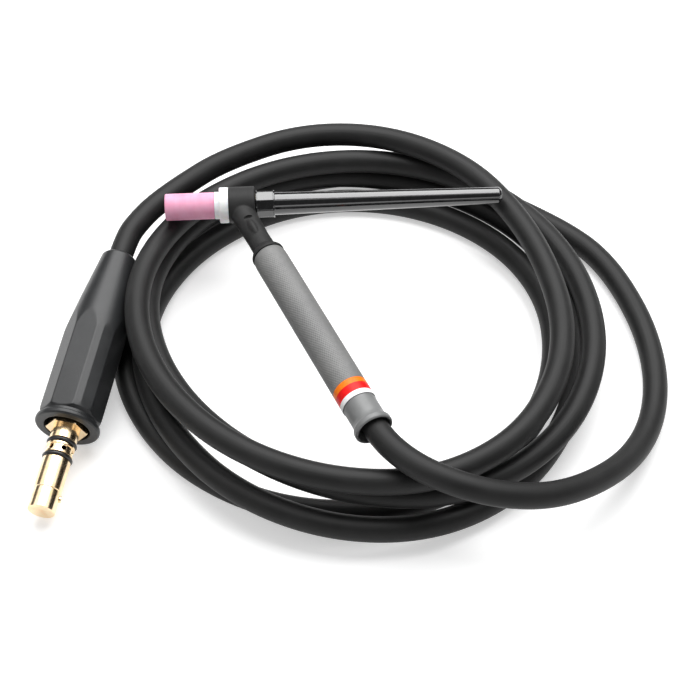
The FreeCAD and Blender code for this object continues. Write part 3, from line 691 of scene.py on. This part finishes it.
def cable(plug_pieces):
    """The whole cable as one tube. The plug pieces are not used."""
    path = spline_path(cable_route(), 12)
    length = np.linalg.norm(np.diff(path, axis=0), axis=1).sum()
    print(f"cable {length:.0f} mm on {len(path)} points")
    piece = cable_tube(path)
    dress(piece, cable_rubber(), "torch", "cable_black", "cable_coil", "plug_lead", "handle_lead")
    mouth = HANDLE.foot + HANDLE.along * HANDLE_MOUTH
    mouth * MM


# Torch head, on stations back from the nozzle's mouth

NOZZLE_LENGTH = 30.7
NOZZLE_RADIUS = 8.35
NOZZLE_BORE = 5.2
THROAT_FRONT = 18.6
THROAT_RADIUS = 6.28
RING_FRONT = 33.8
RING_RADIUS = 11.15
HEAD_FRONT = 39.5
HEAD_BACK = 56.2
HEAD_RADIUS = 11.3
CORE_RADIUS = 7.55
NECK_TUBE_RADIUS = 3.25


def gas_nozzle():
    """Ceramic cup with rounded rims, its bore widening to the throat that screws on to the collet body."""
    corners = [
        (0, NOZZLE_BORE + 0.3, 0.35), (0, NOZZLE_RADIUS, 1.0), (NOZZLE_LENGTH, NOZZLE_RADIUS, 0.9),
        (NOZZLE_LENGTH, THROAT_RADIUS, 0.2), (THROAT_FRONT + 0.8, THROAT_RADIUS, 0.1),
        (THROAT_FRONT, NOZZLE_BORE, 0.1), (0.6, NOZZLE_BORE, 0.1),
    ]
    piece = turned("gas_nozzle_cup", TORCH, ring_profile(corners, 1.0))
    dress(piece, fired_ceramic(), "nozzle", "nozzle_ceramic", "gas_nozzle")


def gasket():
    """White ring in two steps between the nozzle and the head."""
    front = NOZZLE_LENGTH + 0.05
    step = 8.5
    corners = [
        (front, THROAT_RADIUS, 0.1), (front, step, 0.25), (RING_FRONT, step, 0.15),
        (RING_FRONT, RING_RADIUS, 0.6), (HEAD_FRONT, RING_RADIUS, 0.3), (HEAD_FRONT, THROAT_RADIUS, 0.1),
    ]
    piece = turned("heat_shield_ring", TORCH, ring_profile(corners, 0.8), 112)
    dress(piece, white_gasket(), "gasket", "gasket_white", "nozzle_gasket")


def fused(name, pieces, voxel, smoothing):
    """One skin over several overlapping closed pieces, remeshed and relaxed."""
    with bpy.context.temp_override(active_object=pieces[0], selected_editable_objects=pieces):
        bpy.ops.object.join()
    whole = pieces[0]
    whole.name = name
    remesh = whole.modifiers.new("remesh", "REMESH")
    remesh.mode = "VOXEL"
    remesh.voxel_size = voxel * MM
    relax = whole.modifiers.new("relax", "SMOOTH")
    relax.factor = 0.5
    relax.iterations = smoothing
    return whole


def applied(piece, sharp=50.0):
    """Replace a piece's mesh by what its modifiers make of it."""
    graph = bpy.context.evaluated_depsgraph_get()
    mesh = bpy.data.meshes.new_from_object(piece.evaluated_get(graph))
    old = piece.data
    piece.modifiers.clear()
    piece.data = mesh
    bpy.data.meshes.remove(old)
    mesh.polygons.foreach_set("use_smooth", np.ones(len(mesh.polygons), bool))
    mesh.set_sharp_from_angle(angle=math.radians(sharp))
    mesh.update()
    return piece


def bored(piece, tools):
    """Cut closed tools out of a piece and throw them away."""
    for tool in tools:
        cutter = piece.modifiers.new("bore", "BOOLEAN")
        cutter.operation = "DIFFERENCE"
        cutter.solver = "EXACT"
        cutter.object = tool
    applied(piece)
    for tool in tools:
        bpy.data.objects.remove(tool)
    return piece


PAD_MIDDLE = 27.0
PAD_ASIDE = 0.9
PAD_HEIGHT = 8.6
NOTCH_BEFORE = 7.6


def oval(name, station, half_length, half_width, low, high):
    """An ellipsoid along the neck, a little aside, reaching from one height above the axis to another."""
    rows, columns = 25, 48
    t = np.linspace(0, math.pi, rows)[:, None]
    a = (np.arange(columns) * TURN / columns)[None]
    along = half_length * np.cos(t) + 0 * a
    across = PAD_ASIDE + half_width * np.sin(t) * np.cos(a)
    above = (low + high) / 2 + (high - low) / 2 * np.sin(t) * np.sin(a)
    grid = (HANDLE.foot + (station + along)[..., None] * HANDLE.along + across[..., None] * HANDLE.side
            + above[..., None] * HANDLE.up)
    return skin(name, grid, along[:, 0], loop=False)


def cylinder(name, axis, front, back, radius, around=64):
    """A plain closed cylinder, for cutting."""
    corners = [(front, 0, 0), (front, radius, 0), (back, radius, 0), (back, 0, 0)]
    return turned(name, axis, rounded(corners, loop=False), around, loop=False)


def head():
    """Moulded barrel, neck and pad in one skin, bored for the core and the tube and notched by the pad."""
    barrel_corners = [
        (HEAD_FRONT, 0, 0), (HEAD_FRONT, HEAD_RADIUS, 0.4), (HEAD_BACK, HEAD_RADIUS, 1.5), (HEAD_BACK, 0, 0),
    ]
    neck_corners = [
        (0, 0, 0), (0, 7.7, 1.5), (12, 7.6, 20), (34, 7.0, 12), (43.5, 7.3, 4), (45.6, 9.3, 2.0),
        (47.2, 10.2, 1.0), (GRIP_FRONT, GRIP_RADIUS, 0.4), (GRIP_FRONT, 8.0, 0.1), (63, 8.0, 0.3), (63, 0, 0),
    ]
    barrel = turned("barrel", TORCH, rod_profile(barrel_corners, 1.0), loop=False)
    neck = turned("neck", HANDLE, rod_profile(neck_corners, 1.0), loop=False)
    pad = oval("pad", PAD_MIDDLE, 12.5, 4.0, -PAD_HEIGHT, PAD_HEIGHT)
    whole = applied(fused("head_and_neck", [barrel, neck, pad], 0.36, 4))
    tools = [
        cylinder("front_tool", TORCH, 20, HEAD_FRONT, 24),
        cylinder("bore_tool", TORCH, HEAD_FRONT - 3.5, HEAD_BACK + 5.8, CORE_RADIUS, 96),
        cylinder("tube_tool", HANDLE, 2, 70, NECK_TUBE_RADIUS),
        oval("notch", PAD_MIDDLE - NOTCH_BEFORE, 1.5, 3.0, 5.6, 8.9),
    ]
    bored(whole, tools)
    dress(whole, moulded_rubber(), "torch", "head_rubber", "head_insulator")


NOSE_FRONT = 46.5
NOSE_RADIUS = 4.57
COLLAR_FRONT = 56.5
COLLAR_BACK = 68.2
COLLAR_RADIUS = 8.6
FLATS_FRONT = 57.25
FLATS_BACK = 67.45
FLATS_FADE = 0.2
CAP_BACK = 210.6
CAP_BORE = 1.9


def back_cap():
    """Long cap: bored nose, collar with eight shallow flats between two rims, tapered body."""
    corners = [
        (NOSE_FRONT, CAP_BORE, 0.1), (NOSE_FRONT, NOSE_RADIUS, 0.4), (COLLAR_FRONT, NOSE_RADIUS, 0.2),
        (COLLAR_FRONT, COLLAR_RADIUS, 0.4), (FLATS_FRONT, COLLAR_RADIUS, 0),
        (FLATS_FRONT + FLATS_FADE, COLLAR_RADIUS, 0), (FLATS_BACK - FLATS_FADE, COLLAR_RADIUS, 0),
        (FLATS_BACK, COLLAR_RADIUS, 0), (COLLAR_BACK, COLLAR_RADIUS, 0.35), (COLLAR_BACK, 7.2, 0.2),
        (CAP_BACK - 1.7, 5.17, 1.5), (CAP_BACK, 3.6, 1.1), (CAP_BACK, 0, 0),
    ]
    bore_end = CAP_BACK - 6.5
    bore = [(bore_end, 0.0)] + [(station, CAP_BORE) for station in (bore_end, 150.0, 100.0, NOSE_FRONT + 0.9)]
    profile = np.vstack([bore, rod_profile(corners, 0.9, 7)])
    flats = facets(np.arange(8) * 45.0 + 15.0, 8.75)

    def grip_flats(station, radius, angle):
        """Between the rims the collar is cut to the flats, fading in over a fifth of a millimetre."""
        inside = np.clip((station - FLATS_FRONT) / FLATS_FADE, 0, 1)
        inside = inside * np.clip((FLATS_BACK - station) / FLATS_FADE, 0, 1)
        flat = np.minimum(radius, flats(angle) - 0.02)
        return np.where(radius > 7.4, radius + (flat - radius) * inside, radius)

    piece = turned("back_cap_shell", TORCH, profile, 160, grip_flats, loop=False, sharp=30.0)
    dress(piece, gloss_black(), "cap", "cap_black", "back_cap")


# Handle, on stations down the neck from the torch's axis

KNURL_PITCH = 1.25
KNURL_WAVES = 42
KNURL_DEPTH = 0.22
KNURL_LEVEL = 0.8
GRIP_FRONT = 49.0
GRIP_RADIUS = 10.4
GRIP_BORE = 8.3
BAND_FRONT = 163.6
BAND_SEAT = 10.1
BAND_RADIUS = 10.42
SLEEVE_FRONT = 176.2
SLEEVE_FOOT = 171.2
SLEEVE_RADIUS = 9.95


def handle_grip():
    """Knurled tube: the radius rises and falls with two crossing screw waves.

    The knurl's height is the product of two half waves, one for each screw direction, and it
    fades out at the rounded shoulder and before the band.
    """
    plain = 53.0
    end = BAND_FRONT - 0.6
    top = np.arange(plain, end, KNURL_PITCH / 4)
    shoulder = [
        (GRIP_FRONT, GRIP_BORE), (GRIP_FRONT, 9.3), (GRIP_FRONT + 0.2, 9.6), (GRIP_FRONT + 0.8, 9.85),
        (GRIP_FRONT + 1.8, 10.1), (GRIP_FRONT + 2.9, 10.25),
    ]
    outside = np.stack([top, np.interp(top, [plain, 55.5, end], [10.33, GRIP_RADIUS, GRIP_RADIUS])], 1)
    tail = [
        (end, GRIP_RADIUS), (BAND_FRONT - 0.1, GRIP_RADIUS), (BAND_FRONT, GRIP_RADIUS - 0.1),
        (BAND_FRONT, BAND_SEAT), (SLEEVE_FRONT, BAND_SEAT), (SLEEVE_FRONT, 8.8), (SLEEVE_FOOT, 8.8),
    ]
    bore = [(station, GRIP_BORE) for station in (SLEEVE_FOOT, 140.0, 110.0, 80.0)]
    profile = np.vstack([shoulder, outside, tail, bore])

    def knurl(station, radius, angle):
        """The crossed waves, on the outer skin alone."""
        turn_wave = angle * KNURL_WAVES / 2
        rise_wave = station * math.pi / KNURL_PITCH
        crossed = np.abs(np.sin(turn_wave + rise_wave / 2)) * np.abs(np.sin(turn_wave - rise_wave / 2))
        fade = np.clip((station - 52.5) / 3.0, 0, 1) * np.clip((end - station) / 0.8, 0, 1)
        return radius + np.where(radius > 10.2, KNURL_DEPTH * (crossed - KNURL_LEVEL) * fade, 0)

    piece = turned("knurled_grip", HANDLE, profile, 240, knurl, sharp=60.0)
    dress(piece, knurled_grey(), "torch", "handle_grey", "handle_grip")


def handle_band():
    """Ring of printed film in its seat between the grip and the sleeve."""
    corners = [
        (BAND_FRONT, BAND_SEAT, 0.02), (BAND_FRONT, BAND_RADIUS, 0.08), (SLEEVE_FRONT, BAND_RADIUS, 0.08),
        (SLEEVE_FRONT, BAND_SEAT, 0.02),
    ]
    piece = turned("printed_ring", HANDLE, ring_profile(corners, 0.8, 3), 128)
    dress(piece, printed_band(), "torch", "band_orange", "handle_band")


def rear_sleeve():
    """Smooth sleeve that flares to a beaded lip round a wide dark mouth."""
    m = HANDLE_MOUTH
    corners = [
        (SLEEVE_FOOT, GRIP_BORE, 0.1), (SLEEVE_FOOT, 8.72, 0.1), (SLEEVE_FRONT, 8.72, 0.05),
        (SLEEVE_FRONT, SLEEVE_RADIUS, 0.35), (m - 7.2, SLEEVE_RADIUS, 5.0), (m - 4.8, 10.6, 1.4),
        (m - 3.4, 11.4, 0.9), (m - 0.8, 11.5, 1.2), (m, 10.7, 0.7), (m - 0.2, 10.0, 0.5), (m - 4.0, 9.2, 3.0),
        (m - 11.0, GRIP_BORE, 4.0),
    ]
    piece = turned("rear_sleeve", HANDLE, ring_profile(corners, 0.9), 128)
    dress(piece, sleeve_plastic(), "torch", "sleeve_grey", "handle_rear_sleeve")


# Plug, on stations up the pin from its tip

BOOT_EDGES = (136, 93, 80, 57, 12, -33, -78, -89, -134, -179)
BOOT_BORE = 7.8
BOOT_ROOM = 8.9
MOUTH_RADIUS = 13.8
LIP_RADIUS = 19.5


def plug_boot():
    """Faceted boot: a turned body cut to flats, which end in scallops at its skirt and its smooth cone."""
    f = FLANGE_STATION
    back = f + BOOT_LENGTH
    corners = [
        (f, MOUTH_RADIUS, 0.4), (f, 18.7, 0.8), (f + 0.9, LIP_RADIUS, 0.8), (f + 3.0, LIP_RADIUS, 1.0),
        (f + 4.2, 17.2, 0.5), (f + 6.0, 17.0, 0.6), (f + 7.6, 18.5, 1.0), (f + 11.0, 18.9, 3.0),
        (f + 60, 19.2, 16.0), (f + 88, 15.9, 60.0), (back - 1.2, 11.1, 1.2), (back, 10.0, 0.6),
        (back, BOOT_BORE, 0.3), (f + 58.0, BOOT_BORE, 0.1), (f + 58.0, BOOT_ROOM, 0.1),
        (f + 13.0, BOOT_ROOM, 0.3), (f + 13.0, MOUTH_RADIUS, 0.6),
    ]
    polygon = facets(BOOT_EDGES, 18.8)

    def faceted(station, radius, angle):
        """The lower of the turned radius and the polygon's, behind the lip and on the outer skin."""
        inside = (station > f + 5.0) & (station < f + 100) & (radius > 10)
        cut = soft_lowest(radius, polygon(angle), 0.15)
        blend = np.clip(station - f - 5.0, 0, 1)
        return np.where(inside, radius + (cut - radius) * blend, radius)

    piece = turned("plug_boot_shell", PLUG, ring_profile(corners, 1.1), 288, faceted, sharp=50.0)
    return dress(piece, boot_rubber(), "torch", "boot_charcoal", "plug_boot")


TIP_RADIUS = 8.1
TIP_BACK = 12.7
PIN_RADIUS = 8.4
GROOVE_RADIUS = 6.6
GROOVE_LENGTH = 3.2
TIP_GROOVE = 33.0
NUT_GROOVE = 42.7
GAS_RADIUS = 7.6
GAS_STATION = 39.45
GAS_HOLE_RADIUS = 1.5
GAS_HOLE_DEPTH = 5.2
NUT_FRONT = 53.8
NUT_BACK = 64.8
NUT_RADIUS = 12.7
STEM_FRONT = 84.8
STEM_BACK = 104.8
STEM_RADIUS = 3.4
GAS_BORE = 2.0
SEAL_WIRE = 1.15
SEAL_RING = 7.95
LUG_STATION = 10.0
LUG_TURN = 0.1
LUG_RADIUS = 1.9
LUG_TOP = 9.2


def plug_pin():
    """Turned brass pin with its seal grooves, gas holes, shank and stem, bored from the stem's end."""
    tip_groove_back = TIP_GROOVE + GROOVE_LENGTH
    nut_groove_back = NUT_GROOVE + GROOVE_LENGTH
    corners = [
        (0, 0, 0), (0, TIP_RADIUS, 0.3), (TIP_BACK, TIP_RADIUS, 0.1), (TIP_BACK + 0.2, 7.9, 0.1),
        (TIP_BACK + 0.6, PIN_RADIUS, 0.15), (TIP_GROOVE, PIN_RADIUS, 0.2), (TIP_GROOVE, GROOVE_RADIUS, 0.1),
        (tip_groove_back, GROOVE_RADIUS, 0.1), (tip_groove_back, PIN_RADIUS, 0.2), (37.4, PIN_RADIUS, 0.1),
        (37.6, GAS_RADIUS, 0.1), (41.3, GAS_RADIUS, 0.1), (41.5, PIN_RADIUS, 0.1),
        (NUT_GROOVE, PIN_RADIUS, 0.2), (NUT_GROOVE, GROOVE_RADIUS, 0.1),
        (nut_groove_back, GROOVE_RADIUS, 0.1), (nut_groove_back, 8.2, 0.2),
        (NUT_BACK, 8.2, 0.1), (NUT_BACK, 8.6, 0.2), (STEM_FRONT, 8.6, 0.3), (STEM_FRONT, STEM_RADIUS, 0.1),
        (STEM_BACK, STEM_RADIUS, 0.4), (STEM_BACK, GAS_BORE, 0.1), (35.2, GAS_BORE, 0.1), (35.2, 0, 0),
    ]
    profile = rounded(corners, loop=False, steps=4)
    near = (profile[:, 0] > 36.0) & (profile[:, 0] < 43.0) & (profile[:, 1] > 6.5)
    first, last = np.flatnonzero(near)[[0, -1]]
    runs = [refined(profile[:first + 1], 4.0, False)[:-1], refined(profile[first:last + 1], 0.3, False),
            refined(profile[last:], 4.0, False)[1:]]
    hole_angles = np.radians(np.arange(6) * 60.0 + 17.0)

    def drilled(station, radius, angle):
        """Round pits over the gas holes: deep where the distance to a hole's middle is small."""
        away = np.abs((angle[..., None] - hole_angles + math.pi) % TURN - math.pi).min(axis=-1)
        distance = np.hypot(station - GAS_STATION, away * 7.8)
        pit = np.clip((GAS_HOLE_RADIUS - distance) / 0.25, 0, 1)
        close = (radius > 7) & (np.abs(station - GAS_STATION) < 1.9)
        return np.where(close, radius - GAS_HOLE_DEPTH * pit, radius)

    return turned("plug_pin", PLUG, np.vstack(runs), 240, drilled, loop=False, sharp=35.0)


def plug_nut():
    """Hexagon round the pin at the boot's mouth, its ends chamfered."""
    hexagon = facets(np.arange(6) * 60.0 + 12.0, NUT_RADIUS)

    def six_sided(station, radius, angle):
        """The hexagon, with the least chamfer on its corners."""
        end = np.minimum(station - NUT_FRONT, NUT_BACK - station)
        turned_down = NUT_RADIUS - 0.5 + np.clip(end, 0, 0.4) * 1.5
        return np.where(radius > 9, np.minimum(hexagon(angle), turned_down), radius)

    corners = [(NUT_FRONT, 8.0, 0), (NUT_FRONT, NUT_RADIUS, 0), (NUT_BACK, NUT_RADIUS, 0), (NUT_BACK, 8.0, 0)]
    return turned("plug_nut", PLUG, ring_profile(corners, 0.5), 240, six_sided, sharp=25.0)


def locking_lug():
    """Small round lug that stands out of the pin near its tip."""
    way = PLUG.side * math.cos(LUG_TURN) + PLUG.up * math.sin(LUG_TURN)
    corners = [(5.0, 0, 0), (5.0, LUG_RADIUS, 0.1), (LUG_TOP, LUG_RADIUS, 0.35), (LUG_TOP, 0, 0)]
    axis = Axis(PLUG.foot + PLUG.along * LUG_STATION, way, PLUG.along)
    return turned("lock_lug", axis, rod_profile(corners, 0.4), 40, loop=False)


def plug_brass():
    """The three brass pieces of the plug under one finish."""
    pieces = [plug_pin(), plug_nut(), locking_lug()]
    brass = turned_brass()
    for piece, nodes in zip(pieces, (["plug_body"], [], ["bayonet_lug"])):
        dress(piece, brass, "torch", "brass", *nodes)
    return pieces


def seal(name, groove, node):
    """A round ring seated in its groove."""
    angle = np.arange(20) * TURN / 20
    middle = groove + GROOVE_LENGTH / 2
    profile = np.stack([middle + SEAL_WIRE * np.cos(angle), SEAL_RING + SEAL_WIRE * np.sin(angle)], 1)
    piece = turned(name, PLUG, profile, 128)
    return dress(piece, seal_rubber(), "torch", "seal_black", node)


def plug():
    """Every piece on the cable's far end, as a list."""
    pieces = [plug_boot()] + plug_brass()
    pieces += [seal("tip_seal", TIP_GROOVE, "plug_seal_tip"), seal("nut_seal", NUT_GROOVE, "plug_seal_hex")]
    return pieces + ["plug_ferrule", "cable_in_boot"]


# Pieces kept from the frame

def inner_pieces():
    """Finishes for the pieces inside, whose shape stays the frame's own."""
    brass = hidden_metal("plain_brass", (214, 180, 112), (232, 200, 132), 0.3)
    copper = hidden_metal("drawn_copper", (196, 116, 82), (214, 138, 98), 0.32)
    tungsten = hidden_metal("ground_tungsten", (128, 128, 132), (156, 156, 160), 0.34)
    rubber = seal_rubber()
    cable_end = cable_rubber()
    finishes = {
        "collet_body": brass, "collet": copper, "tungsten_electrode": tungsten, "head_core": brass,
        "neck_tube": copper, "back_cap_seal": rubber, "neck_union": brass, "union_nut": brass,
        "cable_barb": brass, "cable_ferrule": brass, "plug_ferrule": brass,
        "cable_in_handle": cable_end, "cable_in_boot": cable_end,
    }
    for node, finish in finishes.items():
        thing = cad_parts[node]
        for slot in thing.material_slots:
            slot.material = finish


# Studio

FLOOR_EDGE = 4.0
FLOOR_DROP = 0.1
FLOOR_GLOW = 0.46
EVEN_LIGHT = 0.3


def floor():
    """A plain pale floor that shows white to the camera and keeps the object's shadow."""
    mesh = bpy.data.meshes.new("floor")
    edge = FLOOR_EDGE
    z = (FLOOR - FLOOR_DROP) * MM
    corners = [(-edge, -edge, z), (edge, -edge, z), (edge, edge, z), (-edge, edge, z)]
    mesh.from_pydata(corners, [], [(0, 1, 2, 3)])
    material = bpy.data.materials.new("studio_floor")
    material.use_nodes = True
    nodes = Nodes(material.node_tree)
    ray = nodes.add("ShaderNodeLightPath")
    seen = Value(nodes, ray.outputs["Is Camera Ray"]).higher(Value(nodes, ray.outputs["Is Glossy Ray"]))
    plain = nodes.add("ShaderNodeBsdfDiffuse", {}, {"Color": (0.8, 0.8, 0.8, 1)})
    pale = nodes.add("ShaderNodeEmission", {}, {"Color": (1, 1, 1, 1), "Strength": FLOOR_GLOW})
    lifted = nodes.add("ShaderNodeAddShader", {}, {0: plain.outputs[0], 1: pale.outputs[0]})
    mixed = nodes.add("ShaderNodeMixShader", {}, {0: seen, 1: plain.outputs[0], 2: lifted.outputs[0]})
    nodes.add("ShaderNodeOutputMaterial", {}, {0: mixed.outputs[0]})
    mesh.materials.append(material)
    link(bpy.data.objects.new("floor", mesh))


def surroundings():
    """White to the camera and a dim even light to the rest, but for glossy rays a room.

    The room is dark with a bright ceiling, a bright strip on the wall behind the camera and a pale
    floor, each fading smoothly over a height or a depth of the world's own direction vector.
    """
    world = bpy.data.worlds.new("studio")
    world.use_nodes = True
    bpy.context.scene.world = world
    nodes = Nodes(world.node_tree)
    ray = nodes.add("ShaderNodeLightPath")
    camera_ray, glossy, clear = (Value(nodes, ray.outputs[f"Is {kind} Ray"])
                                 for kind in ("Camera", "Glossy", "Transmission"))
    glossy_ray = glossy.higher(clear)
    way = nodes.add("ShaderNodeTexCoord").outputs["Generated"]
    height = nodes.part_of(way, "Z")
    depth = nodes.part_of(way, "Y")
    ceiling = height.ramp(0.46, 0.54) * depth.ramp(-0.36, -0.26)
    strip = height.ramp(0.12, 0.16) * (1.0 - height.ramp(0.36, 0.42)) * (1.0 - depth.ramp(-0.6, -0.5))
    below = 1.0 - height.ramp(-0.02, 0.03)
    room = ceiling * 1.4 + strip * 1.3 + below * 0.8 + 0.1
    unseen = glossy_ray * room + (1.0 - glossy_ray) * EVEN_LIGHT
    strength = camera_ray + (1.0 - camera_ray) * unseen
    light = nodes.add("ShaderNodeBackground", {}, {"Color": (1, 1, 1, 1), "Strength": strength})
    nodes.add("ShaderNodeOutputWorld", {}, {0: light.outputs[0]})


def studio():
    """Floor, surroundings and two soft lamps."""
    floor()
    surroundings()
    middle = (110, -70, -40)
    lamp("rear_softbox", (260, 620, 1450), middle, (1.8, 1.7), 46)
    lamp("left_softbox", (-1100, -300, 900), middle, (0.9, 1.2), 2.5)
    bpy.context.scene.view_settings.view_transform = "Standard"


camera()
cable(plug())
gas_nozzle()
gasket()
head()
back_cap()
handle_grip()
handle_band()
rear_sleeve()
inner_pieces()
studio()
